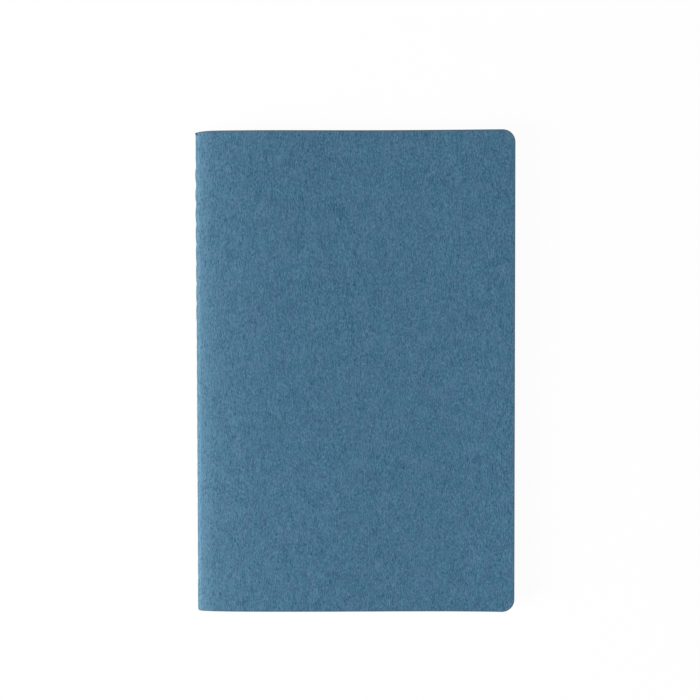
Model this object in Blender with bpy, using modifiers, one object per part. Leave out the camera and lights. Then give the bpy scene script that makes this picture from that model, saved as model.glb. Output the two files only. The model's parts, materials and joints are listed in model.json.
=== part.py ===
"""A softcover notebook, closed and lying on its back cover.

One card cover is folded round a section of twelve folded sheets, and both are sewn together through the fold with
two threads. Each fold works as a hinge, so a folded sheet is two leaves that turn on it, and the cover is a front
and a back.

+X points from the spine to the fore edge, +Y to the head, +Z up. The origin is on the table, in the middle of the
notebook. Every fold turns about one line, the hinge line, which runs along the spine in the outer thread, and each
piece is drawn about that line. Lengths are in metres.
"""

import math

import bmesh
import bpy

# Outline of the closed notebook
COVER_WIDTH = 0.1390  # outside of the fold to the fore edge
COVER_HEIGHT = 0.2100  # head to tail
CORNER_RADIUS = 0.0055  # the two fore-edge corners, rounded by a die
LEAF_INSET = 0.0004  # the leaves stop this far short of the cover, all round

# What the section is made of
SHEET_COUNT = 12  # folded sheets, each giving a front leaf and a back leaf
CARD_THICKNESS = 0.00038
PAPER_THICKNESS = 0.00011
FOLD_GAP = 0.00002  # between layers where the thread draws them together
LEAF_AIR = 0.00012  # between layers beyond the fold, where they spring apart

# Thread and stitches
THREAD_RADIUS = 0.00022
THREAD_CLEARANCE = 0.00006  # thread to the edges of the slit that it passes through
THREAD_SEAT = 0.00002  # thread to the card and the paper that it lies on
STITCH_LENGTH = 0.00865
STITCH_MARGIN = 0.0140  # least plain fold beyond the last hole at each end
LOOP_HALF_WIDTH = 0.00030  # half the spread of a thread's two strands in one hole
LOOP_SHOULDER = 0.00035  # rounding where a strand turns into its hole
LOCK_GAP = 0.00006  # between the two threads where their loops meet in the hole

# How the layers leave the fold
ROLL_LENGTH = 0.0280  # the bend beside the fold dies out over this length
COVER_SAG = 0.0007  # dip across the middle of the front cover
NOSE_STEP = math.radians(15)  # facet of the rounded fold
NOSE_LEAST_STEP = math.radians(4)
ROLL_STEPS = 8
SAG_STEPS = 8
CORNER_STEPS = 6

# Finishes: linear colour and roughness
CARD_COLOUR = (0.063, 0.156, 0.242, 1.0)
PAPER_COLOUR = (0.76, 0.72, 0.62, 1.0)
THREAD_COLOUR = (0.178, 0.254, 0.323, 1.0)
CARD_ROUGHNESS = 0.85
PAPER_ROUGHNESS = 0.90
THREAD_ROUGHNESS = 0.80

# Sizes that follow from those above, measured from the hinge line
SLIT_HALF = THREAD_RADIUS + THREAD_CLEARANCE
INNER_RADIUS = SLIT_HALF + THREAD_SEAT  # inside of the innermost fold
FOLD_PITCH = PAPER_THICKNESS + FOLD_GAP
LEAF_PITCH = PAPER_THICKNESS + LEAF_AIR
COVER_FOLD_RADIUS = INNER_RADIUS + SHEET_COUNT * FOLD_PITCH
COVER_FLAT_HEIGHT = LEAF_AIR / 2 + SHEET_COUNT * LEAF_PITCH
SPINE_X = THREAD_RADIUS + THREAD_SEAT  # outside of the fold
FOLD_CENTRE_X = SPINE_X + CARD_THICKNESS + COVER_FOLD_RADIUS
FORE_EDGE_X = SPINE_X + COVER_WIDTH
LOCK_X = FOLD_CENTRE_X / 2
LOOP_DEPTH = LOCK_X - THREAD_RADIUS - LOCK_GAP / 2

# The hinge line in the notebook's own frame
HINGE_X = (THREAD_RADIUS - FORE_EDGE_X) / 2
HINGE_Z = COVER_FLAT_HEIGHT + CARD_THICKNESS

FRONT = 1
BACK = -1


def clear_scene():
    for scene_object in list(bpy.data.objects):
        bpy.data.objects.remove(scene_object, do_unlink=True)


def make_material(name, colour, roughness):
    material = bpy.data.materials.new(name)
    material.use_nodes = True
    shader = material.node_tree.nodes["Principled BSDF"]
    shader.inputs["Base Color"].default_value = colour
    shader.inputs["Roughness"].default_value = roughness
    shader.inputs["Metallic"].default_value = 0.0
    return material


def nose_angles(radius):
    """Angles round the fold, from the slit at the spine to the top of the nose."""
    start = math.asin(SLIT_HALF / radius)
    steps = int((math.pi / 2 - start - NOSE_LEAST_STEP) / NOSE_STEP)
    return [start] + [math.pi / 2 - NOSE_STEP * step for step in range(steps, -1, -1)]


def sag(x):
    """Share of the cover's dip at a distance from the hinge line."""
    start = FOLD_CENTRE_X + ROLL_LENGTH
    if x <= start:
        return 0.0
    return math.sin(math.pi * (x - start) / (FORE_EDGE_X - start)) ** 2


def layer_stations(fold_radius, flat_height, side, inset):
    """Stations (x, z, half length along the spine) down a layer's inner face, from the fold to the fore edge."""
    half_height = COVER_HEIGHT / 2 - inset
    fore_edge = FORE_EDGE_X - inset
    corner_radius = CORNER_RADIUS - inset
    corner_start = fore_edge - corner_radius
    roll_end = FOLD_CENTRE_X + ROLL_LENGTH
    share_of_sag = (COVER_FLAT_HEIGHT + side * flat_height) / (2 * COVER_FLAT_HEIGHT)

    stations = []
    for angle in nose_angles(fold_radius):
        x = FOLD_CENTRE_X - fold_radius * math.cos(angle)
        stations.append((x, side * fold_radius * math.sin(angle), half_height))
    for step in range(1, ROLL_STEPS + 1):
        along = (step / ROLL_STEPS) ** 2
        height = flat_height + (fold_radius - flat_height) * (1 - along) ** 3
        stations.append((FOLD_CENTRE_X + along * ROLL_LENGTH, side * height, half_height))
    for step in range(1, SAG_STEPS + 1):
        x = roll_end + (corner_start - roll_end) * step / SAG_STEPS
        z = side * flat_height - COVER_SAG * share_of_sag * sag(x)
        stations.append((x, z, half_height))
    for step in range(1, CORNER_STEPS + 1):
        angle = math.pi / 2 * step / CORNER_STEPS
        x = corner_start + corner_radius * math.sin(angle)
        z = side * flat_height - COVER_SAG * share_of_sag * sag(x)
        stations.append((x, z, half_height - corner_radius * (1 - math.cos(angle))))
    return stations


def make_layer(name, fold_radius, flat_height, side, thickness, inset, material, parts, hinge_line):
    """A leaf or a cover: a flat strip laid over its stations, then given its thickness away from the middle."""
    stations = layer_stations(fold_radius, flat_height, side, inset)
    mesh = bpy.data.meshes.new(name)
    strip = bmesh.new()
    bmesh.ops.create_grid(strip, x_segments=len(stations) - 1, y_segments=1, size=0.5)
    for vertex in strip.verts:
        station = round((vertex.co.x + 0.5) * (len(stations) - 1))
        x, z, half_length = stations[station]
        vertex.co = (x, math.copysign(half_length, vertex.co.y), z)
    strip.to_mesh(mesh)
    strip.free()
    mesh.shade_smooth()

    layer = bpy.data.objects.new(name, mesh)
    layer.data.materials.append(material)
    solidify = layer.modifiers.new("thickness", "SOLIDIFY")
    solidify.thickness = thickness
    solidify.offset = side
    solidify.use_even_offset = True
    layer.parent = hinge_line
    parts.objects.link(layer)
    return layer


def loop_points(hole_y, run_x, inward):
    """One thread's loop in a hole: in on one strand, round at the lock and out on the other."""
    half_loop = [
        (LOOP_HALF_WIDTH + LOOP_SHOULDER, 0.0),
        (LOOP_HALF_WIDTH + LOOP_SHOULDER * (1 - math.sqrt(0.5)), LOOP_SHOULDER * (1 - math.sqrt(0.5))),
        (LOOP_HALF_WIDTH, LOOP_SHOULDER),
        (LOOP_HALF_WIDTH * math.sqrt(0.5), LOOP_DEPTH - LOOP_HALF_WIDTH * (1 - math.sqrt(0.5))),
    ]
    going_in = [(hole_y - across, run_x + inward * depth) for across, depth in half_loop]
    bottom = [(hole_y, run_x + inward * LOOP_DEPTH)]
    coming_out = [(hole_y + across, run_x + inward * depth) for across, depth in reversed(half_loop)]
    return going_in, bottom, coming_out


def hole_places():
    count = int((COVER_HEIGHT - 2 * STITCH_MARGIN) / STITCH_LENGTH)
    return [STITCH_LENGTH * (hole - count / 2) for hole in range(count + 1)]


def make_thread(name, run_x, inward, material, parts, hinge_line):
    """A thread that runs along the fold and turns into every hole; its ends are tucked into the last two holes."""
    places = hole_places()
    route = []
    for hole_y in places:
        going_in, bottom, coming_out = loop_points(hole_y, run_x, inward)
        if hole_y != places[0]:
            route += going_in
        route += bottom
        if hole_y != places[-1]:
            route += coming_out

    curve = bpy.data.curves.new(name, "CURVE")
    curve.dimensions = "3D"
    curve.bevel_depth = THREAD_RADIUS
    curve.bevel_resolution = 1
    curve.use_fill_caps = True
    spline = curve.splines.new("POLY")
    spline.points.add(len(route) - 1)
    for point, (y, x) in zip(spline.points, route):
        point.co = (x, y, 0.0, 1.0)
    thread = bpy.data.objects.new(name, curve)
    thread.data.materials.append(material)
    thread.parent = hinge_line
    parts.objects.link(thread)
    return thread


def build_notebook():
    clear_scene()
    parts = bpy.data.collections.new("softcover_notebook")
    bpy.context.scene.collection.children.link(parts)
    card = make_material("blue_recycled_card", CARD_COLOUR, CARD_ROUGHNESS)
    paper = make_material("natural_paper", PAPER_COLOUR, PAPER_ROUGHNESS)
    cotton = make_material("sewing_thread", THREAD_COLOUR, THREAD_ROUGHNESS)

    hinge_line = bpy.data.objects.new("hinge_line", None)
    hinge_line.location = (HINGE_X, 0.0, HINGE_Z)
    parts.objects.link(hinge_line)

    for name, side in (("front_cover", FRONT), ("back_cover", BACK)):
        make_layer(
            name, COVER_FOLD_RADIUS, COVER_FLAT_HEIGHT, side, CARD_THICKNESS, 0.0, card, parts, hinge_line
        )

    # Sheet 1 is the outermost. Its front leaf is the first of the notebook and its back leaf the last.
    for sheet in range(1, SHEET_COUNT + 1):
        inside = SHEET_COUNT - sheet
        fold_radius = INNER_RADIUS + inside * FOLD_PITCH
        flat_height = LEAF_AIR / 2 + inside * LEAF_PITCH
        for number, side in ((sheet, FRONT), (2 * SHEET_COUNT + 1 - sheet, BACK)):
            make_layer(
                f"leaf_{number:02d}", fold_radius, flat_height, side, PAPER_THICKNESS, LEAF_INSET, paper,
                parts, hinge_line,
            )

    make_thread("outer_thread", 0.0, 1, cotton, parts, hinge_line)
    make_thread("inner_thread", FOLD_CENTRE_X, -1, cotton, parts, hinge_line)


build_notebook()
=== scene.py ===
# %% [markdown]
# # A sewn softcover notebook
#
# The object is a 14 by 21 cm notebook: one sheet of blue recycled card, folded round twelve folded sheets
# of paper and sewn to them through the fold. The construction is already made and packed: 26 flat pieces,
# hinged on one line along the spine, and two threads. This script gives each of them its finished surface.
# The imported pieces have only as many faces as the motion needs, so every one is replaced by a finer piece
# of the same size, in the same place, riding on the same body.

# %% Load the construction
import json
import math
import random

import bmesh
import bpy
import numpy as np
from mathutils import Euler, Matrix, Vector


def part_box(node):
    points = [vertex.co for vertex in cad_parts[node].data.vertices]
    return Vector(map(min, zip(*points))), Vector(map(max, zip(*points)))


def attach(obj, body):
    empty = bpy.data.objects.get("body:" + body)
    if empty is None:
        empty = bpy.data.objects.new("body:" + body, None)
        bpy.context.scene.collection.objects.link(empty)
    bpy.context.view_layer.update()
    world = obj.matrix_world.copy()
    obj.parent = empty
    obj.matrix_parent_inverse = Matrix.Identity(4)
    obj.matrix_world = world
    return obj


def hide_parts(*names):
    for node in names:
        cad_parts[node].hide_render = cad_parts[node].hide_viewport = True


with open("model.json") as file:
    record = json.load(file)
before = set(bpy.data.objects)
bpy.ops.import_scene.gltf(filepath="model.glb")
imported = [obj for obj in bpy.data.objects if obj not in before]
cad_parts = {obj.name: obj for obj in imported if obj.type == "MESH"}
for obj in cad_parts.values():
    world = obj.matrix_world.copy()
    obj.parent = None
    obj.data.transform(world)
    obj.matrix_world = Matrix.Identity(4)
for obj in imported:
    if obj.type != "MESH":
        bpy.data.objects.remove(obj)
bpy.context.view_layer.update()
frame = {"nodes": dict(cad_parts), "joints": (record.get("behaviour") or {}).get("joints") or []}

# %% [markdown]
# ## The camera
#
# The notebook lies flat and is seen from straight above, so the camera looks down at it. Its place, its
# small tilt and its lens are those with which the four edges of the cover come out where they are in the
# photograph. Blender's camera looks along its own -Z with +Y up, which is already straight down, so only
# that tilt is left to turn.

# %% Camera
MM = 0.001  # Blender works in metres, and a notebook is easier to read in millimetres

CAMERA_PLACE = Vector((0.297, 14.681, 305.973)) * MM
CAMERA_TILT = (-0.955, 0.424, -0.094)  # degrees about X, Y and Z
CAMERA_LENS = 35.42  # mm
SENSOR_WIDTH = 36  # mm

camera_data = bpy.data.cameras.new("camera")
camera_data.sensor_width = SENSOR_WIDTH
camera_data.lens = CAMERA_LENS
camera = bpy.data.objects.new("camera", camera_data)
camera.location = CAMERA_PLACE
camera.rotation_euler = Euler([math.radians(angle) for angle in CAMERA_TILT])
bpy.context.scene.collection.objects.link(camera)
bpy.context.scene.camera = camera
print("camera height above the table: %.0f mm" % (camera.location.z / MM))

# %% [markdown]
# ## Measures
#
# Everything in this notebook turns on the hinge line, so every piece is drawn about it: x runs from the
# hinge line to the fore edge, y from tail to head and z up from the middle of the fold. The frame gives the
# places, and the thicknesses of card, paper and thread give the rest, in the same way as in the
# construction.

# %% Measures from the frame
hinge = Vector(frame["joints"][0]["pos_m"])  # all the joints turn on the same line
_, cover_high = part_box("front_cover")
_, leaf_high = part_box("leaf_01")
_, inner_thread_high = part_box("inner_thread")

CARD = 0.38 * MM
PAPER = 0.11 * MM
THREAD_RADIUS = 0.22 * MM
THREAD_SEAT = 0.02 * MM  # between the outer thread and the fold that it lies on
SHEETS = sum(name.startswith("leaf_") for name in frame["nodes"]) // 2

fore_edge = cover_high.x - hinge.x
half_height = cover_high.y
cover_flat = cover_high.z - hinge.z - CARD  # inner face of the flat cover, above the middle
leaf_inset = cover_high.x - leaf_high.x
leaf_air = (cover_flat - SHEETS * PAPER) / (SHEETS + 0.5)  # half a gap lies on each side of the middle
fold_centre = inner_thread_high.x - THREAD_RADIUS - hinge.x
spine = THREAD_RADIUS + THREAD_SEAT  # outside of the fold
cover_fold_radius = fold_centre - spine - CARD
print("fore edge %.2f mm, fold centre %.2f mm, air between leaves %.3f mm"
      % (fore_edge / MM, fold_centre / MM, leaf_air / MM))

# %% [markdown]
# ## How a layer lies
#
# Looked at from the head, every layer leaves the fold in a quarter turn, the nose. The sewing holds the
# fold tighter than the rest, so beside it the layers rise to their full height over a few centimetres, and
# towards the fore edge the whole front half of the book dips a little. A subdivided cage could follow that,
# but formulas are easier to share. The covers and the leaves take their columns and their dip from the same
# ones, and each layer only states its own radius at the fold and its own height, so that no two can meet.

# %% Height and dip of a layer
ROLL_LENGTH = 28 * MM
DIP = 0.7 * MM
DIP_SHIFT = 0.9  # how strongly the dip moves towards the fore edge at the tail
DIP_POWER_HEAD = 1.5  # a higher power makes the dip narrower
DIP_POWER_TAIL = 1.0

roll_end = fold_centre + ROLL_LENGTH


def smooth(share):
    """From 0 to 1 with no sudden start or stop."""
    share = np.clip(share, 0, 1)
    return share * share * (3 - 2 * share)


def dip(x, y):
    """How far the front cover sinks: most at mid-width at the head, nearer the fore edge at the tail."""
    across = np.clip((x - roll_end) / (fore_edge - roll_end), 0, 1)
    towards_tail = smooth((half_height - y) / (2 * half_height))
    power = DIP_POWER_HEAD + (DIP_POWER_TAIL - DIP_POWER_HEAD) * towards_tail
    return DIP * np.sin(math.pi * across ** (1 + DIP_SHIFT * towards_tail)) ** power


def share_of_dip(side, flat_height):
    """0 for the back cover, which lies on the table, to 1 for the front cover."""
    return (cover_flat + side * flat_height) / (2 * cover_flat)


print("full height reached %.0f mm from the fold, dip %.1f mm" % (ROLL_LENGTH / MM, DIP / MM))

# %% Columns of a layer
CORNER_RADIUS = 5.5 * MM
ROLL_STEPS = 18
ROLL_SPACING = 1.6  # above 1, the columns lie closer together beside the fold
FLAT_STEPS = 14
CORNER_STEPS = 14


def columns_beyond_fold(inset):
    """Places across a piece from its nose to the fore edge, and how much shorter each end is there."""
    corner_radius = CORNER_RADIUS - inset
    corner_start = fore_edge - inset - corner_radius
    angles = np.linspace(0, math.pi / 2, CORNER_STEPS + 1)[1:]
    roll = fold_centre + ROLL_LENGTH * np.linspace(0, 1, ROLL_STEPS + 1)[1:] ** ROLL_SPACING
    flat = np.linspace(roll_end, corner_start, FLAT_STEPS + 1)[1:]
    corner = corner_start + corner_radius * np.sin(angles)
    shortening = corner_radius * (1 - np.cos(angles))
    straight = np.zeros(ROLL_STEPS + FLAT_STEPS)
    return np.concatenate([roll, flat, corner]), np.concatenate([straight, shortening])


print("columns beyond the nose:", len(columns_beyond_fold(0.0)[0]))

# %% [markdown]
# ## Laying a grid
#
# A flat grid is the simplest mesh that a sheet can be made of. Blender makes one, and each of its points is
# then moved to its place in a table of points. Solidify gives the sheet its thickness away from the middle
# of the book.

# %% Grid to sheet
SHARP_ANGLE = math.radians(40)


def lay_grid(name, points):
    """A mesh object whose grid has each point at the place given for its column and row."""
    columns, rows = points.shape[:2]
    grid = bmesh.new()
    bmesh.ops.create_grid(grid, x_segments=columns - 1, y_segments=rows - 1, size=0.5)
    for vertex in grid.verts:
        column = round((vertex.co.x + 0.5) * (columns - 1))
        row = round((vertex.co.y + 0.5) * (rows - 1))
        vertex.co = Vector(points[column, row]) + hinge
    mesh = bpy.data.meshes.new(name)
    grid.to_mesh(mesh)
    grid.free()
    mesh.shade_smooth()
    piece = bpy.data.objects.new(name, mesh)
    bpy.context.scene.collection.objects.link(piece)
    return piece


def thicken(piece, thickness, side):
    """Gives the sheet its thickness and keeps the new mesh, with its sharp edges marked."""
    solidify = piece.modifiers.new("thickness", "SOLIDIFY")
    solidify.thickness = thickness
    solidify.offset = side
    solidify.use_even_offset = True
    shaped = piece.evaluated_get(bpy.context.evaluated_depsgraph_get())
    piece.data = bpy.data.meshes.new_from_object(shaped)
    piece.modifiers.clear()
    piece.data.shade_smooth()
    piece.data.set_sharp_from_angle(angle=SHARP_ANGLE)


# %% [markdown]
# ## Where the needle went
#
# The notebook is sewn by machine with a row of even stitches, pulled tight enough to draw the card in at
# each hole. The outline of the spine shows it. Near the head each stitch stands proud in an arch, the
# arches soon flatten out, and past a third of the way down the thread has pressed a groove into the fold
# and lies level with the card. The needle leaves a short slit along the fold, which the thread fills.

# %% Sewing holes
HOLES = 22
STITCH = 8.65 * MM
DIMPLE_DEPTH = 0.11 * MM
DIMPLE_WIDTH = 1.5 * MM

hole_places = STITCH * (np.arange(HOLES) - (HOLES - 1) / 2)


def to_nearest_hole(y):
    return np.abs(np.subtract.outer(np.asarray(y), hole_places)).min(axis=-1)


def bell(distance, width):
    """1 in the middle, dying out smoothly past the width."""
    return np.exp(-((distance / width) ** 2))


def dimple(y):
    """How far the whole fold is drawn in at the holes."""
    return DIMPLE_DEPTH * bell(to_nearest_hole(y), DIMPLE_WIDTH)


print("holes from %.1f to %.1f mm" % (hole_places[0] / MM, hole_places[-1] / MM))

# %% Groove under the thread
STITCH_ARCH = 0.55 * MM  # height of the first stitch's middle above its ends
ARCH_LENGTH = 25 * MM  # the arches flatten out over this length
SLOW_SINK = 0.12 * MM  # how deep the thread has come to lie this far from its first stitch
SLOW_SINK_LENGTH = 60 * MM
LAST_SINK = 0.18 * MM  # and how much deeper from here on
LAST_SINK_PLACE = 24 * MM
LAST_SINK_LENGTH = 4 * MM


def groove(y):
    """How deep the outer thread lies in the card, besides the dimples."""
    from_head = np.clip(hole_places[-1] - np.asarray(y), 0, None)
    towards_hole = np.clip(1 - to_nearest_hole(y) / (STITCH / 2), 0, 1)
    arch = STITCH_ARCH * np.exp(-from_head / ARCH_LENGTH) * towards_hole**2
    last_sink = LAST_SINK * smooth((LAST_SINK_PLACE - y) / LAST_SINK_LENGTH)
    return SLOW_SINK * smooth(from_head / SLOW_SINK_LENGTH) + last_sink + arch


print("groove at the tail: %.2f mm" % (groove(hole_places[0] + STITCH / 2) / MM))

# %% Rows down a cover
SLIT_HALF_LENGTH = 1.1 * MM
SLIT_ROWS = 5  # in half a slit
FIRST_STEP = 0.25 * MM  # from a slit or an end to the row beyond it
GROWTH_AT_HOLE = 1.8  # each next row is this many times as far from the slit
GROWTH_AT_END = 1.7  # or from the end
ROWS_PAST_SLIT = 4
ROWS_AT_END = 8


def rows_for_stitches():
    """Rows down a cover: close together at its two ends and at each hole, where the card changes shape."""
    slit_angles = [math.pi / 2 * step / SLIT_ROWS for step in range(1, SLIT_ROWS + 1)]
    near_hole = [SLIT_HALF_LENGTH * math.sin(angle) for angle in slit_angles]
    near_hole += [SLIT_HALF_LENGTH + FIRST_STEP * GROWTH_AT_HOLE**step for step in range(ROWS_PAST_SLIT)]
    near_end = [0.0] + [FIRST_STEP * GROWTH_AT_END**step for step in range(ROWS_AT_END)]
    rows = {half_height - place for place in near_end}
    rows |= {place - half_height for place in near_end}
    for hole in hole_places:
        rows |= {hole, hole + STITCH / 2, hole - STITCH / 2}
        rows |= {hole + place for place in near_hole}
        rows |= {hole - place for place in near_hole}
    return np.array(sorted({round(row, 7) for row in rows}))


cover_rows = rows_for_stitches()
print("rows down a cover:", len(cover_rows))

# %% [markdown]
# ## The card cover
#
# The cover is one sheet of card, folded once. A rigid body can't fold, so its front and back part at the
# middle of the fold, and each of them carries half of every slit. The nose of each row starts where its
# half slit ends, so the slits are cut by the grid itself and no Boolean is needed. A dimple round each slit
# and a groove under the thread come from the tight sewing. At the tail the end of the fold is knocked in a
# little. At the head it has sprung open: the back half stands out in a small point, and the front half is
# drawn in beside it and down towards the tail. They don't both stand out, because the two halves are back
# to back when the cover is open.

# %% Points of a cover
FRONT = 1  # above the middle of the fold
BACK = -1
FOLD_PARTING = 0.02 * MM  # half the gap between the two halves of the fold
SLIT_HALF_WIDTH = 0.18 * MM
NOSE_HEIGHT = 1.38 * MM
RISE_LENGTH = 7 * MM
NOSE_STEPS = 16


def cover_height(x):
    """Height of the cover's inner face: a round nose, and on it a rise that dies out beyond it."""
    from_nose = x - (fold_centre - cover_fold_radius)
    round_part = np.sqrt(1 - np.clip(1 - from_nose / cover_fold_radius, 0, 1) ** 2)
    return NOSE_HEIGHT * round_part + (cover_flat - NOSE_HEIGHT) * (1 - np.exp(-from_nose / RISE_LENGTH))


def cover_points(side):
    """A cover's inner face: columns from the slit to the fore edge, and rows from tail to head."""
    rows = cover_rows[None, :]
    from_slit_middle = np.clip(to_nearest_hole(rows) / SLIT_HALF_LENGTH, 0, 1)
    half_slit = SLIT_HALF_WIDTH * np.sqrt(1 - from_slit_middle**2)
    begin = np.arcsin(np.maximum(half_slit, FOLD_PARTING) / NOSE_HEIGHT)
    round_nose = np.linspace(0, 1, NOSE_STEPS + 1)[:, None]
    angle = begin + (math.pi / 2 - begin) * round_nose
    nose_x = fold_centre - cover_fold_radius * np.cos(angle)
    nose_y = np.broadcast_to(rows, nose_x.shape)

    beyond_x, shortening = columns_beyond_fold(0.0)
    beyond_y = rows * (1 - shortening[:, None] / half_height)
    beyond_x = np.broadcast_to(beyond_x[:, None], beyond_y.shape)

    x = np.concatenate([nose_x, beyond_x])
    y = np.concatenate([nose_y, beyond_y])
    z = side * cover_height(x) - share_of_dip(side, cover_flat) * dip(x, y)
    return np.stack([x, y, z], axis=-1)


print("cover grid: %d columns by %d rows" % cover_points(FRONT).shape[:2])

# %% Shape of the spine
SPINE_BULGE = 0.165 * MM  # the springy fold stands out this far between the threads' pull
GROOVE_HALF_WIDTH = 0.28 * MM
DIMPLE_HALF_HEIGHT = 0.9 * MM
HEAD_FLARE = {FRONT: -0.15 * MM, BACK: 0.28 * MM}  # how far each half stands out at the head
FLARE_LENGTH = 1.9 * MM
FLARE_HALF_HEIGHT = 1.0 * MM
HEAD_DROOP = {FRONT: 0.50 * MM, BACK: 0.10 * MM}  # how far each is drawn towards the tail there
DROOP_LENGTH = 8 * MM
KNOCK = 0.18 * MM
KNOCK_LENGTH = 0.9 * MM
INNER_GROOVE = 0.7  # share of the groove that shows on the inside of the card


def near(distance, length):
    """1 at no distance, 0 from the length on."""
    return np.clip(1 - distance / length, 0, 1) ** 2


def shape_spine(cover, side):
    """Moves the nose in at the holes, the groove and the tail, and out elsewhere."""
    places = np.empty(len(cover.data.vertices) * 3)
    cover.data.vertices.foreach_get("co", places)
    places = places.reshape(-1, 3)
    x, y, z = (places - np.array(hinge)).T
    through_card = smooth((x - spine) / CARD)
    sewn = smooth((y - hole_places[0]) / SLIT_HALF_LENGTH + 1)
    sewn = sewn * smooth((hole_places[-1] - y) / SLIT_HALF_LENGTH + 1)
    pressed = groove(y) * sewn * bell(z, GROOVE_HALF_WIDTH)
    inward = dimple(y) * bell(z, DIMPLE_HALF_HEIGHT) + pressed * (1 - (1 - INNER_GROOVE) * through_card)
    inward = inward + KNOCK * near(half_height + y, KNOCK_LENGTH)
    flare = HEAD_FLARE[side] * near(half_height - y, FLARE_LENGTH) * bell(z, FLARE_HALF_HEIGHT)
    on_nose = 1 - smooth((x - spine - CARD) / (fold_centre - spine - CARD))
    places[:, 0] += (inward - (SPINE_BULGE + flare)) * on_nose
    beside_fold = near(np.maximum(x - spine, 0), DROOP_LENGTH)
    places[:, 1] -= HEAD_DROOP[side] * beside_fold * near(half_height - y, DROOP_LENGTH)
    cover.data.vertices.foreach_set("co", places.ravel())
    cover.data.update()


# %% Front and back cover
CUT_EDGE = 0.09 * MM  # rounding that the cutting blade leaves
CUT_EDGE_ANGLE = math.radians(50)


def make_cover(name, node, side):
    cover = lay_grid(name, cover_points(side))
    thicken(cover, CARD, side)
    shape_spine(cover, side)
    rounding = cover.modifiers.new("cut_edge", "BEVEL")
    rounding.width = CUT_EDGE
    rounding.segments = 2
    rounding.limit_method = "ANGLE"
    rounding.angle_limit = CUT_EDGE_ANGLE
    rounding.harden_normals = True
    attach(cover, node)
    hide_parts(node)
    return cover


covers = [
    make_cover("front_cover_card", "front_cover", FRONT),
    make_cover("back_cover_card", "back_cover", BACK),
]
print("points in each cover:", len(covers[0].data.vertices))

# %% [markdown]
# ## The leaves
#
# Twelve sheets of paper are folded together, and each gives a leaf at the front and one at the back. Real
# leaves are cut together but never lie quite alike: each one springs up by its own few hundredths of a
# millimetre. Every leaf gets a slow wave of its own, seeded by its number so that each run gives the same
# book, and smaller than the air between two leaves. The innermost sheet is carried on outwards until it
# nearly reaches the card, because it is what shows at the bottom of the fold when the book lies open at
# its middle.

# %% Wave of a leaf
OWN_WAVE = 0.038 * MM
WAVES = 3
MOST_ACROSS = 2.0  # turns of a wave between the hinge line and the fore edge
TURNS_DOWN = (0.4, 1.8)  # least and most turns between the middle and the head


def leaf_wave(number, x, y):
    """A leaf's own slow wave. It grows from nothing at the fold."""
    draw = random.Random(number)
    wave = np.zeros(np.broadcast(x, y).shape)
    for _ in range(WAVES):
        across = draw.uniform(-MOST_ACROSS, MOST_ACROSS) / fore_edge
        down = draw.uniform(*TURNS_DOWN) / half_height
        start = draw.uniform(0, 2 * math.pi)
        wave = wave + np.sin(2 * math.pi * (across * x + down * y) + start) / WAVES
    return OWN_WAVE * wave * smooth((x - fold_centre) / (fore_edge / 2))


print("wave %.3f mm, air between leaves %.3f mm" % (OWN_WAVE / MM, leaf_air / MM))

# %% Points of a leaf
INNER_RADIUS = 0.27 * MM  # inside of the innermost fold
FOLD_AIR = 0.005 * MM
NOSE_END = 0.36 * MM  # the outer folds stop this far from the middle, above the innermost sheet
SLIT_HALF = 0.235 * MM  # height of the innermost sheet above the middle, on its way to the card
SLIT_START = 0.18 * MM  # from the inside of the card to where the innermost sheet starts
SLIT_FLARE = 0.5 * MM  # it widens from the slit to its nose over this length
LEAF_NOSE_STEPS = 9
LEAF_ROWS = 28
EDGE_STRAY = 0.05 * MM
STRAY_SEED = 100  # added to a leaf's number, so that its edges stray apart from its wave


def leaf_nose(radius, innermost):
    """The curve of a leaf's inner face from its fold to the top of the nose, as x and height."""
    if innermost:
        x = np.linspace(spine + CARD + SLIT_START, fold_centre, LEAF_NOSE_STEPS + 1)
        return x, SLIT_HALF + (radius - SLIT_HALF) * smooth((x - fold_centre) / SLIT_FLARE + 1)
    angle = np.linspace(math.asin(NOSE_END / radius), math.pi / 2, LEAF_NOSE_STEPS + 1)
    return fold_centre - radius * np.cos(angle), radius * np.sin(angle)


def height_beyond_fold(x, fold_height, flat_height):
    """Height of a leaf's inner face above the middle, from the top of its nose to the fore edge."""
    along = np.clip((x - fold_centre) / ROLL_LENGTH, 0, 1)
    return flat_height + (fold_height - flat_height) * (1 - along) ** 3


def leaf_points(number, side, inside):
    """A leaf's inner face. Inside is how many sheets lie between it and the middle of the book."""
    radius = INNER_RADIUS + inside * (PAPER + FOLD_AIR)
    flat_height = leaf_air / 2 + inside * (PAPER + leaf_air)
    draw = random.Random(STRAY_SEED + number)
    inset = leaf_inset + draw.uniform(0, EDGE_STRAY)
    half = half_height - leaf_inset - draw.uniform(0, EDGE_STRAY)
    nose_x, nose_height = leaf_nose(radius, inside == 0)
    beyond_x, shortening = columns_beyond_fold(inset)
    height = np.concatenate([nose_height, height_beyond_fold(beyond_x, radius, flat_height)])
    x = np.concatenate([nose_x, beyond_x])[:, None]
    shorter = np.concatenate([np.zeros(len(nose_x)), shortening])[:, None]
    y = np.linspace(-half, half, LEAF_ROWS + 1)[None, :] * (1 - shorter / half)
    z = side * height[:, None] - share_of_dip(side, flat_height) * dip(x, y) + leaf_wave(number, x, y)
    return np.stack(np.broadcast_arrays(x, y, z), axis=-1)


print("leaf grid: %d columns by %d rows" % leaf_points(1, FRONT, SHEETS - 1).shape[:2])

# %% Front and back leaves
def make_leaf(number):
    side = FRONT if number <= SHEETS else BACK
    inside = SHEETS - number if side == FRONT else number - SHEETS - 1
    node = "leaf_%02d" % number
    leaf = lay_grid(node + "_page", leaf_points(number, side, inside))
    thicken(leaf, PAPER, side)
    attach(leaf, node)
    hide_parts(node)
    return leaf


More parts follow.
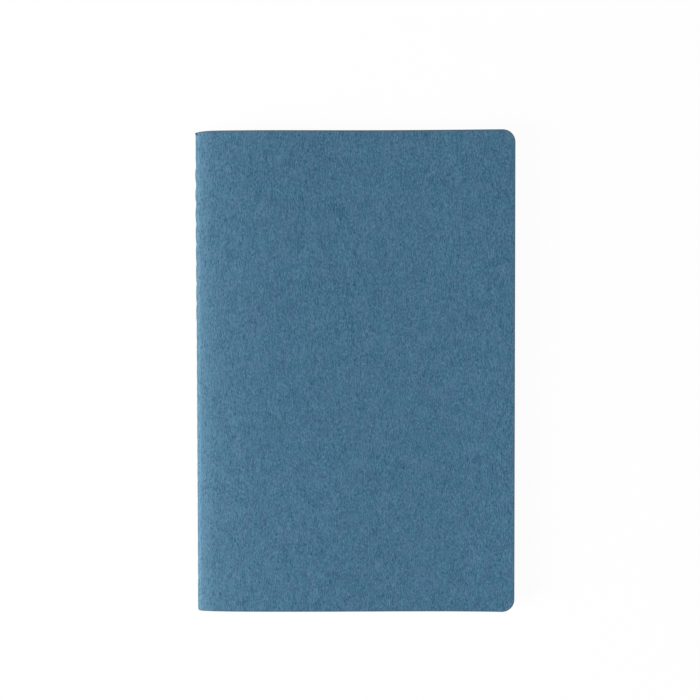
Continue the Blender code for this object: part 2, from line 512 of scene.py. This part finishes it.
leaves = [make_leaf(number) for number in range(1, 2 * SHEETS + 1)]
print("leaves:", len(leaves), "with", len(leaves[0].data.vertices), "points each")

# %% [markdown]
# ## The thread
#
# Sewing thread is two plies twisted round each other, and a plain tube would look like wire. Each ply is a
# curve that winds round the thread's own path, so the twist is there to see. The path of the outer thread
# runs along the spine and sinks into the card at each hole. The inner thread lies in the middle fold and
# dips through the paper to meet it. Each thread is one curve with two splines, turned into a mesh, and both
# threads ride with the leaf behind the middle fold.

# %% Twisted thread
PLY_RADIUS = 0.115 * MM
THREAD_SLACK = 0.005 * MM  # the plies stay this far inside the thread's full radius
TWIST_RADIUS = THREAD_RADIUS - THREAD_SLACK - PLY_RADIUS
TWIST_LENGTH = 1.15 * MM
TURN_STEPS = 9
WELD_DISTANCE = 0.001 * MM


def as_mesh(name, curve):
    """A mesh object with the curve's tubes, each welded to its end caps."""
    guide = bpy.data.objects.new(name + "_guide", curve)
    bpy.context.scene.collection.objects.link(guide)
    mesh = bpy.data.meshes.new_from_object(guide.evaluated_get(bpy.context.evaluated_depsgraph_get()))
    bpy.data.objects.remove(guide)
    tubes = bmesh.new()
    tubes.from_mesh(mesh)
    bmesh.ops.remove_doubles(tubes, verts=tubes.verts, dist=WELD_DISTANCE)
    tubes.to_mesh(mesh)
    tubes.free()
    mesh.shade_smooth()
    piece = bpy.data.objects.new(name, mesh)
    bpy.context.scene.collection.objects.link(piece)
    return piece


def make_thread(name, node, path):
    """Two plies round a path, which gives x, z and a share of full thickness for each place along it."""
    first, last = hole_places[0], hole_places[-1]
    count = round((last - first) / TWIST_LENGTH * TURN_STEPS)
    curve = bpy.data.curves.new(name, "CURVE")
    curve.dimensions = "3D"
    curve.bevel_depth = PLY_RADIUS
    curve.bevel_resolution = 2
    curve.use_fill_caps = True
    for ply in range(2):
        spline = curve.splines.new("POLY")
        spline.points.add(count)
        for step, point in enumerate(spline.points):
            y = first + (last - first) * step / count
            x, z, thickness = path(y)
            turn = 2 * math.pi * step / TURN_STEPS + math.pi * ply
            around = TWIST_RADIUS * thickness
            place = Vector((x + around * math.cos(turn), y, z + around * math.sin(turn))) + hinge
            point.co = (*place, 1.0)
            point.radius = thickness
    thread = as_mesh(name, curve)
    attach(thread, "leaf_%02d" % (SHEETS + 1))
    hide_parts(node)
    return thread


# %% Outer and inner stitches
DIVE_LENGTH = 0.75 * MM  # along the spine, from the top of a stitch to its hole
OUTER_DIVE = 0.15 * MM
OUTER_SQUEEZE = 0.15  # share of its thickness that the thread loses in a hole
CENTRE_RUN = 1.5 * MM  # from the hinge line to the inner row of stitches
CENTRE_SAG = 0.03 * MM  # below the middle of the fold
CENTRE_DIVE = 0.28 * MM
CENTRE_SQUEEZE = 0.6


def in_hole(y):
    """1 in a hole, 0 past the dive on either side."""
    return float(smooth(1 - to_nearest_hole(y) / DIVE_LENGTH))


def spine_path(y):
    return float(groove(y) + dimple(y)) + OUTER_DIVE * in_hole(y), 0.0, 1 - OUTER_SQUEEZE * in_hole(y)


def centre_path(y):
    return CENTRE_RUN, -CENTRE_SAG - CENTRE_DIVE * in_hole(y), 1 - CENTRE_SQUEEZE * in_hole(y)


threads = [
    make_thread("spine_stitching", "outer_thread", spine_path),
    make_thread("centre_stitching", "inner_thread", centre_path),
]
print("stitches:", HOLES - 1, "of %.2f mm" % (STITCH / MM))

# %% [markdown]
# ## Shader maths
#
# The finishes are worked out from patterns and masks. Written as nodes one by one, such sums are hard to
# read, so one small class stands for the output of a node: adding or multiplying two of them adds the Math
# node that does it, and any other node comes from its `node` method.

# %% Socket arithmetic
MIX_LOW = 6  # a Mix node has sockets of one name for numbers, vectors and colours, so colours go by number
MIX_HIGH = 7
MIX_RESULT = 2


class Field:
    """A node's output socket, which can be used in sums."""

    def __init__(self, tree, socket=None):
        self.tree = tree
        self.socket = socket

    def node(self, kind, settings=None, sockets=None, output=0):
        """Adds a node, with its settings first and then the values or links of its sockets."""
        made = self.tree.nodes.new("ShaderNode" + kind)
        for name, value in (settings or {}).items():
            setattr(made, name, value)
        for name, value in (sockets or {}).items():
            if isinstance(value, Field):
                self.tree.links.new(value.socket, made.inputs[name])
            else:
                made.inputs[name].default_value = value
        return Field(self.tree, made.outputs[output])

    def maths(self, operation, *others):
        """A Math node on this value and the others, in that order."""
        return self.node("Math", {"operation": operation}, dict(enumerate((self, *others))))

    def __add__(self, other):
        return self.maths("ADD", other)

    def __sub__(self, other):
        return self.maths("SUBTRACT", other)

    def __rsub__(self, other):
        return self.node("Math", {"operation": "SUBTRACT"}, {0: other, 1: self})

    def __mul__(self, other):
        return self.maths("MULTIPLY", other)

    def __truediv__(self, other):
        return self.maths("DIVIDE", other)

    def __neg__(self):
        return self.maths("MULTIPLY", -1.0)

    __radd__ = __add__
    __rmul__ = __mul__

    def ramp(self, low, high):
        """From 0 at low to 1 at high, smoothly. Low may be the larger of the two."""
        sockets = {"Value": self, "From Min": low, "From Max": high}
        return self.node("MapRange", {"interpolation_type": "SMOOTHSTEP"}, sockets)

    def between(self, low, high):
        """A colour that goes from low to high as this value goes from 0 to 1."""
        sockets = {"Factor": self, MIX_LOW: low, MIX_HIGH: high}
        return self.node("Mix", {"data_type": "RGBA"}, sockets, MIX_RESULT)

    def axis(self, letter):
        """X, Y or Z of this vector."""
        return self.node("SeparateXYZ", None, {0: self}, letter)


# %% New material
GRAIN_ROUGHNESS = 0.55


def new_finish(name):
    """A material with its Principled BSDF, and a Field to start its sums from."""
    material = bpy.data.materials.new(name)
    material.use_nodes = True
    return material, material.node_tree.nodes["Principled BSDF"], Field(material.node_tree)


def connect(shader, colour, roughness, normal, constants):
    """What varies is linked, and what is the same all over is set on the shader's own socket."""
    tree = colour.tree
    tree.links.new(colour.socket, shader.inputs["Base Color"])
    tree.links.new(roughness.socket, shader.inputs["Roughness"])
    tree.links.new(normal.socket, shader.inputs["Normal"])
    for name, value in constants.items():
        shader.inputs[name].default_value = value


def grain(place, size, turn=0.0, detail=1.0, shift=0.0):
    """Noise with grains of a size along x, y and z, turned about z in degrees. Its mean is 0.5."""
    sockets = {
        "Vector": place,
        "Location": (shift, shift, shift),
        "Rotation": (0.0, 0.0, math.radians(turn)),
        "Scale": size,
    }
    stretched = place.node("Mapping", {"vector_type": "TEXTURE"}, sockets)
    sockets = {"Vector": stretched, "Scale": 1.0, "Detail": detail, "Roughness": GRAIN_ROUGHNESS}
    return place.node("TexNoise", None, sockets)


# %% [markdown]
# ## Blue recycled card
#
# The card is made of short dyed fibres that lie mostly along the spine, because the mill's web ran that
# way. Close up it shows flecks about a third of a millimetre wide and a millimetre or two long, darker and
# paler than the rest, and here and there a fine pale hair. From further away it has faint clouds, greener
# and more violet. The flecks are three layers of noise, stretched and turned a little to either side, since
# crossing directions look like felted fibre and one direction looks like wood. The hairs are the thin lines
# where a stretched noise crosses its middle value. The noises are shifted apart, because every one of them
# has its middle value at its own origin.

# %% Fibres of the card
FLECK_SIZE = (0.34 * MM, 1.15 * MM, 0.34 * MM)
FLECK_LAYERS = ((0.0, 0.0), (14.0, 3 * MM), (-14.0, 7 * MM))  # degrees from the spine, and shift
FLECK_CONTRAST = 4.8
STREAK_SIZE = (0.40 * MM, 4.0 * MM, 0.40 * MM)
STREAK_SHIFT = 13 * MM
STREAK_CONTRAST = 1.2
MOTTLE_SIZE = (4.0 * MM, 7.0 * MM, 4.0 * MM)
MOTTLE_SHIFT = 19 * MM
MOTTLE_CONTRAST = 0.6


def card_flecks(place):
    """Flecks in three directions. Their mean is 0.5."""
    straight, one_way, other_way = [
        grain(place, FLECK_SIZE, turn, shift=shift) for turn, shift in FLECK_LAYERS
    ]
    return (straight + one_way + other_way) / len(FLECK_LAYERS)


def card_tone(place, flecks):
    """How much paler the card is than its mean colour, or darker where it is below 0."""
    streaks = grain(place, STREAK_SIZE, shift=STREAK_SHIFT)
    mottle = grain(place, MOTTLE_SIZE, detail=3.0, shift=MOTTLE_SHIFT)
    tone = (flecks - 0.5) * FLECK_CONTRAST + (streaks - 0.5) * STREAK_CONTRAST
    return tone + (mottle - 0.5) * MOTTLE_CONTRAST


# %% Hairs on the card
HAIR_SIZE = (0.8 * MM, 5.5 * MM, 0.8 * MM)
HAIR_FADE = (0.03, 0.008)  # from the noise's middle value, where a hair begins and where it is full
HAIR_BREAK_SIZE = (1.2 * MM, 2.0 * MM, 1.2 * MM)
HAIR_BREAK = (0.52, 0.62)
HAIR_TURNS = (24.0, -31.0, 6.0)
HAIR_SHIFT = 5 * MM
HAIR_BREAK_SHIFT = 11 * MM


def hairs_in_direction(place, index):
    """1 on a hair in one direction. Each hair is broken where a second noise is low."""
    turn = HAIR_TURNS[index]
    line = grain(place, HAIR_SIZE, turn, detail=0.0, shift=HAIR_SHIFT * index) - 0.5
    unbroken = grain(place, HAIR_BREAK_SIZE, turn, detail=0.0, shift=HAIR_BREAK_SHIFT * index)
    return line.maths("ABSOLUTE").ramp(*HAIR_FADE) * unbroken.ramp(*HAIR_BREAK)


def card_hairs(place):
    """1 on a fine hair in any of the directions."""
    hairs = hairs_in_direction(place, 0)
    for index in range(1, len(HAIR_TURNS)):
        hairs = hairs.maths("MAXIMUM", hairs_in_direction(place, index))
    return hairs


# %% [markdown]
# ## Where the card is worn, and its painted light and shade
#
# A line of painted shade runs along the cover's cut edges and round its corners, and the sprung-open head
# of the fold gets painted shade. The card beside the fold gets a painted highlight, the very nose of the
# fold gets painted shade, and the rounded corners are handled most and have gone a little grey. All of
# these follow the shape, so each is a mask made from the distance to an edge. The painted highlight, the
# nose shade and the grey corners are under the flecks, and the painted shade at the edges and the head is
# over them, in the order in which the colours are mixed.

# %% Masks on the card
CORNER_REACH = 0.6  # share of the corner's radius over which it goes grey
TIP_WIDTH = 1.45 * MM  # of the painted shade at the head end of the fold, from the outside of the fold
TIP_LENGTH = 2.15 * MM  # along the fold
TIP_DEPTH = 0.80 * MM  # below the middle of the fold
TIP_SOFT = 0.70 * MM
TIP_RAGGED = 3.0 * MM  # how far the flecks move its border


def from_cut_edge(place):
    """How far inside the cover's cut outline a place is, and a mask that is 1 in its round corners."""
    past_x = place.axis("X") - (cover_high.x - CORNER_RADIUS)
    past_y = place.axis("Y").maths("ABSOLUTE") - (half_height - CORNER_RADIUS)
    over_x = past_x.maths("MAXIMUM", 0.0)
    over_y = past_y.maths("MAXIMUM", 0.0)
    round_corner = (over_x * over_x + over_y * over_y).maths("SQRT")
    straight = past_x.maths("MAXIMUM", past_y).maths("MINIMUM", 0.0)
    corner = over_x.maths("MINIMUM", over_y).ramp(0.0, CORNER_RADIUS * CORNER_REACH)
    return CORNER_RADIUS - round_corner - straight, corner


def painted_tip_shade(place, flecks):
    """1 where shade is painted on the sprung end of the fold at the head, on its front half and the point
    below it.
    """
    ragged = (flecks - 0.5) * TIP_RAGGED
    across = (place.axis("X") - (hinge.x + spine) + ragged).ramp(TIP_WIDTH, TIP_WIDTH - TIP_SOFT)
    along = (half_height - place.axis("Y") + ragged).ramp(TIP_LENGTH, TIP_LENGTH - TIP_SOFT)
    below = (hinge.z - place.axis("Z") + ragged).ramp(TIP_DEPTH, TIP_DEPTH - TIP_SOFT)
    return across * along * below


# %% Colours of the card
CARD_GREENER = (0.048, 0.142, 0.217, 1.0)
CARD_VIOLET = (0.059, 0.137, 0.224, 1.0)
CARD_PALE = (0.102, 0.229, 0.334, 1.0)
CARD_DARK = (0.004, 0.052, 0.109, 1.0)
# Colour of the pale hairs, also used for the painted highlight beside the fold
CARD_HAIR_AND_PAINTED_HIGHLIGHT = (0.137, 0.256, 0.346, 1.0)
# Painted shade along the cut edges
CARD_EDGE_SHADE = (0.082, 0.088, 0.099, 1.0)
CARD_WORN = (0.170, 0.190, 0.200, 1.0)
# Painted shade on the nose of the fold
CARD_NOSE_SHADE = (0.039, 0.089, 0.112, 1.0)
# Painted shade at the head end of the fold
CARD_TIP_SHADE = (0.020, 0.044, 0.064, 1.0)
CLOUD_SIZE = (4 * MM, 6 * MM, 4 * MM)
CLOUD_SHIFT = 23 * MM
CLOUD_RANGE = (0.3, 0.7)
# Painted highlight beside the fold: how far from the fold it reaches, and how strong it is
PAINTED_HIGHLIGHT_FAR = 42 * MM  # from the fold
PAINTED_HIGHLIGHT_FAR_SHARE = 0.12
PAINTED_HIGHLIGHT_BESIDE_FOLD = 9.5 * MM
PAINTED_HIGHLIGHT_BESIDE_SHARE = 0.36
NOSE_SHADE_RANGE = (1.7 * MM, 0.2 * MM)  # from the fold, where the painted shade on the nose begins and where it is full
NOSE_SHADE_SHARE = 0.7
CORNER_SHARE = 0.15
HAIR_SHARE = 0.30
# Painted shade along the cut edges: its width and strength
EDGE_SHADE_WIDTH = 0.72 * MM
EDGE_SHADE_SHARE = 0.8


def card_colour(place, flecks, tone, hairs):
    """The dyed card, painted highlight and nose shade, worn corners, fibres, then painted edge and tip
    shade.
    """
    clouds = grain(place, CLOUD_SIZE, shift=CLOUD_SHIFT)
    from_spine = place.axis("X") - (hinge.x + spine)
    # Painted highlight: the card is made paler towards the fold
    painted_highlight = from_spine.ramp(PAINTED_HIGHLIGHT_FAR, 0.0) * PAINTED_HIGHLIGHT_FAR_SHARE
    painted_highlight = painted_highlight + from_spine.ramp(PAINTED_HIGHLIGHT_BESIDE_FOLD, 0.0) * PAINTED_HIGHLIGHT_BESIDE_SHARE
    # Painted shade: the nose of the fold is made darker
    pressed = from_spine.ramp(*NOSE_SHADE_RANGE) * NOSE_SHADE_SHARE
    to_edge, corner = from_cut_edge(place)
    # Painted shade in a thin line along the cut edges
    edge_shade = to_edge.ramp(EDGE_SHADE_WIDTH, 0.0) * EDGE_SHADE_SHARE

    colour = clouds.ramp(*CLOUD_RANGE).between(CARD_GREENER, CARD_VIOLET)
    colour = painted_highlight.between(colour, CARD_HAIR_AND_PAINTED_HIGHLIGHT)
    colour = pressed.between(colour, CARD_NOSE_SHADE)
    colour = (corner * CORNER_SHARE).between(colour, CARD_WORN)
    colour = tone.maths("MAXIMUM", 0.0).between(colour, CARD_PALE)
    colour = (-tone).maths("MAXIMUM", 0.0).between(colour, CARD_DARK)
    colour = (hairs * HAIR_SHARE).between(colour, CARD_HAIR_AND_PAINTED_HIGHLIGHT)
    colour = edge_shade.between(colour, CARD_EDGE_SHADE)
    # Painted shade at the head end of the fold, where it has sprung open
    return painted_tip_shade(place, flecks).between(colour, CARD_TIP_SHADE)


# %% Card finish
CARD_ROUGHNESS = 0.86
PALE_POLISH = 0.10  # how much smoother the paler fibres are
HAIR_RELIEF = 0.25  # height of a hair, where a fleck's is 1
CARD_BUMP = {"Strength": 0.35, "Distance": 0.05 * MM}


def card_finish():
    material, shader, start = new_finish("blue_recycled_card")
    place = start.node("TexCoord", output="Object")
    flecks = card_flecks(place)
    tone = card_tone(place, flecks)
    hairs = card_hairs(place)
    colour = card_colour(place, flecks, tone, hairs)
    roughness = CARD_ROUGHNESS - tone * PALE_POLISH
    normal = start.node("Bump", None, {**CARD_BUMP, "Height": flecks + hairs * HAIR_RELIEF})
    connect(shader, colour, roughness, normal, {"Specular IOR Level": 0.12})
    return material


card_material = card_finish()
for cover in covers:
    cover.data.materials.append(card_material)
print("card nodes:", len(card_material.node_tree.nodes))

# %% [markdown]
# ## Natural paper
#
# The pages are uncoated paper in a natural off-white. Held close, it is slightly cloudy, with a very fine
# tooth and the odd speck from recycled pulp. Fine pale grey rules run right across each page, as in most
# notebooks of this kind. They are printed, so they are drawn as a mask from the distance to the nearest
# rule and only change the colour.

# %% Rules on the pages
RULES = 25
RULE_SPACING = 7.0 * MM
TOP_RULE = half_height - 20 * MM
RULE_HALF_WIDTH = 0.10 * MM
RULE_SOFT = 0.04 * MM
BLOCK_MARGIN = 0.5  # rules are drawn up to here past the first and the last one, in spacings
BLOCK_SOFT = 0.05
PAGE_FACE = (0.3, 0.7)  # upward part of the normal, from a leaf's cut edge to its face
EDGE_INK = 0.15


def rules(place, normal):
    """1 on a printed rule, 0 between them and in the margins, and a trace of ink on a leaf's cut edges."""
    down = (TOP_RULE - place.axis("Y")) / RULE_SPACING
    to_rule = down.maths("PINGPONG", 0.5) * RULE_SPACING
    line = to_rule.ramp(RULE_HALF_WIDTH + RULE_SOFT, RULE_HALF_WIDTH - RULE_SOFT)
    past_first = down.ramp(-BLOCK_MARGIN, BLOCK_SOFT - BLOCK_MARGIN)
    before_last = down.ramp(RULES - BLOCK_MARGIN, RULES - BLOCK_MARGIN - BLOCK_SOFT)
    on_face = normal.axis("Z").maths("ABSOLUTE").ramp(*PAGE_FACE)
    return line * (past_first * before_last) * (on_face * (1 - EDGE_INK) + EDGE_INK)


print("rules from %.0f to %.0f mm" % (TOP_RULE / MM, (TOP_RULE - (RULES - 1) * RULE_SPACING) / MM))

# %% Paper finish
PAPER_WARM = (0.76, 0.72, 0.62, 1.0)
PAPER_COOL = (0.72, 0.69, 0.60, 1.0)
PAPER_SPECK = (0.30, 0.25, 0.19, 1.0)
RULE_GREY = (0.36, 0.38, 0.41, 1.0)
PAPER_CLOUD_SIZE = (1.6 * MM, 2.4 * MM, 1.6 * MM)
PAPER_CLOUD_RANGE = (0.35, 0.65)
TOOTH_SIZE = (0.10 * MM, 0.16 * MM, 0.10 * MM)
TOOTH_RELIEF = 0.6  # and the clouds give the rest
SPECK_SIZE = (0.35 * MM, 0.5 * MM, 0.35 * MM)
SPECK_TURN = 20.0
SPECK_RANGE = (0.80, 0.86)
SPECK_SHARE = 0.5
RULE_SHARE = 0.6
PAPER_ROUGHNESS = 0.88
TOOTH_ROUGHNESS = 0.06
PAPER_BUMP = {"Strength": 0.2, "Distance": 0.02 * MM}


def paper_finish():
    material, shader, start = new_finish("natural_paper")
    place = start.node("TexCoord", output="Object")
    clouds = grain(place, PAPER_CLOUD_SIZE, detail=3.0)
    tooth = grain(place, TOOTH_SIZE, detail=2.0)
    specks = grain(place, SPECK_SIZE, SPECK_TURN, detail=0.0).ramp(*SPECK_RANGE)
    colour = clouds.ramp(*PAPER_CLOUD_RANGE).between(PAPER_WARM, PAPER_COOL)
    colour = (specks * SPECK_SHARE).between(colour, PAPER_SPECK)
    normal = start.node("TexCoord", output="Normal")
    colour = (rules(place, normal) * RULE_SHARE).between(colour, RULE_GREY)
    relief = tooth * TOOTH_RELIEF + clouds * (1 - TOOTH_RELIEF)
    bump = start.node("Bump", None, {**PAPER_BUMP, "Height": relief})
    roughness = PAPER_ROUGHNESS + tooth * TOOTH_ROUGHNESS
    connect(shader, colour, roughness, bump, {"Specular IOR Level": 0.2})
    return material


paper_material = paper_finish()
for leaf in leaves:
    leaf.data.materials.append(paper_material)
print("paper nodes:", len(paper_material.node_tree.nodes))

# %% [markdown]
# ## Grey-blue thread
#
# The thread is spun, so each ply has fine filaments along its own turn, a slightly uneven dye and a soft
# surface. The plies are already modelled, so the finish adds only the filaments and the unevenness.

# %% Thread finish
THREAD_BLUE = (0.100, 0.145, 0.190, 1.0)
THREAD_SHADE = (0.050, 0.080, 0.112, 1.0)
SHADE_RANGE = (0.62, 0.38)
FILAMENT_SIZE = (0.03 * MM, 0.30 * MM, 0.03 * MM)
FILAMENT_SHARE = 0.7  # of the unevenness, and the dye gives the rest
DYE_SIZE = (1.5 * MM, 3.0 * MM, 1.5 * MM)
THREAD_ROUGHNESS = 0.78
FILAMENT_ROUGHNESS = 0.1
THREAD_BUMP = {"Strength": 0.5, "Distance": 0.02 * MM}


def thread_finish():
    material, shader, start = new_finish("sewing_thread")
    place = start.node("TexCoord", output="Object")
    filaments = grain(place, FILAMENT_SIZE, detail=2.0)
    dye = grain(place, DYE_SIZE)
    worn = filaments * FILAMENT_SHARE + dye * (1 - FILAMENT_SHARE)
    colour = worn.ramp(*SHADE_RANGE).between(THREAD_BLUE, THREAD_SHADE)
    normal = start.node("Bump", None, {**THREAD_BUMP, "Height": filaments})
    roughness = THREAD_ROUGHNESS + filaments * FILAMENT_ROUGHNESS
    connect(shader, colour, roughness, normal, {"Specular IOR Level": 0.3, "Sheen Weight": 0.15})
    return material


thread_material = thread_finish()
for thread in threads:
    thread.data.materials.append(thread_material)
print("thread nodes:", len(thread_material.node_tree.nodes))

# %% [markdown]
# ## Floor and light
#
# The notebook lies on a plain white floor under soft studio light. The slope beside the spine and the nose
# of the fold are clearly brighter than the flat of the cover, so the main light stands low at the spine
# side, a little towards the tail. A wide fill and the white room light the rest, and a low rim light stands
# past the fore edge. The powers are set so that the flat of the cover gets a level of 1, where a colour
# shows as it is written. The floor is white to the camera. Near the notebook it keeps part of the shadow,
# and further out it runs into the white of the room with no horizon.

# %% Floor
WHITE = (1.0, 1.0, 1.0, 1.0)
FLOOR_SIZE = 8.0  # metres
FLOOR_WHITE = (0.85, 0.85, 0.85, 1.0)
FLOOR_GLOW = 0.955  # share of the floor's white that shadows don't reach, near the notebook
SHADOW_NEAR = 0.10  # metres from the middle of the notebook, and where the floor has become all white
SHADOW_FAR = 0.60


def seen_directly(start):
    """1 for what the camera, a reflection or a view through glass sees, 0 for light on things."""
    camera_ray = start.node("LightPath", output="Is Camera Ray")
    glossy_ray = start.node("LightPath", output="Is Glossy Ray")
    transmission_ray = start.node("LightPath", output="Is Transmission Ray")
    return camera_ray.maths("MAXIMUM", glossy_ray).maths("MAXIMUM", transmission_ray)


def floor_finish():
    material, shader, start = new_finish("white_floor")
    shader.inputs["Base Color"].default_value = FLOOR_WHITE
    shader.inputs["Roughness"].default_value = 1.0
    shader.inputs["Specular IOR Level"].default_value = 0.0
    tree = material.node_tree
    lit = Field(tree, shader.outputs[0])
    glow = start.node("Emission", None, {"Color": WHITE, "Strength": 1.0})
    place = start.node("TexCoord", output="Object")
    distance = place.node("VectorMath", {"operation": "LENGTH"}, {0: place}, "Value")
    away = distance.ramp(SHADOW_NEAR, SHADOW_FAR)
    white_share = FLOOR_GLOW + away * (1.0 - FLOOR_GLOW)
    both = start.node("MixShader", None, {0: seen_directly(start) * white_share, 1: lit, 2: glow})
    tree.links.new(both.socket, tree.nodes["Material Output"].inputs["Surface"])
    return material


bpy.ops.mesh.primitive_plane_add(size=FLOOR_SIZE, location=(0, 0, 0))
floor = bpy.context.object
floor.name = "floor"
floor.data.materials.append(floor_finish())
print("floor: %.0f m square" % FLOOR_SIZE)

# %% Room
ROOM_LIGHT = 0.24

world = bpy.data.worlds.new("white_room")
world.use_nodes = True
bpy.context.scene.world = world
background = world.node_tree.nodes["Background"]
room = Field(world.node_tree)
seen_white = seen_directly(room) * (1.0 - ROOM_LIGHT) + ROOM_LIGHT
background.inputs["Color"].default_value = WHITE
world.node_tree.links.new(seen_white.socket, background.inputs["Strength"])
bpy.context.scene.view_settings.view_transform = "Standard"
print("view transform:", bpy.context.scene.view_settings.view_transform)

# %% Lamps
LAMPS = {  # watts, place in metres and side in metres
    "key": (68.3, Vector((-1.54, -0.49, 0.595)), 0.84),
    "fill": (8.0, Vector((1.2, 0.8, 2.6)), 2.6),
    "rim": (22.0, Vector((2.4, 0.4, 0.19)), 0.36),
}


def add_softbox(name, power, place, size):
    """A square area lamp that looks at the notebook."""
    lamp_data = bpy.data.lights.new(name, "AREA")
    lamp_data.energy = power
    lamp_data.size = size
    lamp = bpy.data.objects.new(name, lamp_data)
    lamp.location = place
    lamp.rotation_euler = (-place).to_track_quat("-Z", "Y").to_euler()
    bpy.context.scene.collection.objects.link(lamp)


for name, (power, place, size) in LAMPS.items():
    add_softbox(name, power, place, size)
    print("%s lamp: %.1f W from %.2f m away" % (name, power, place.length))
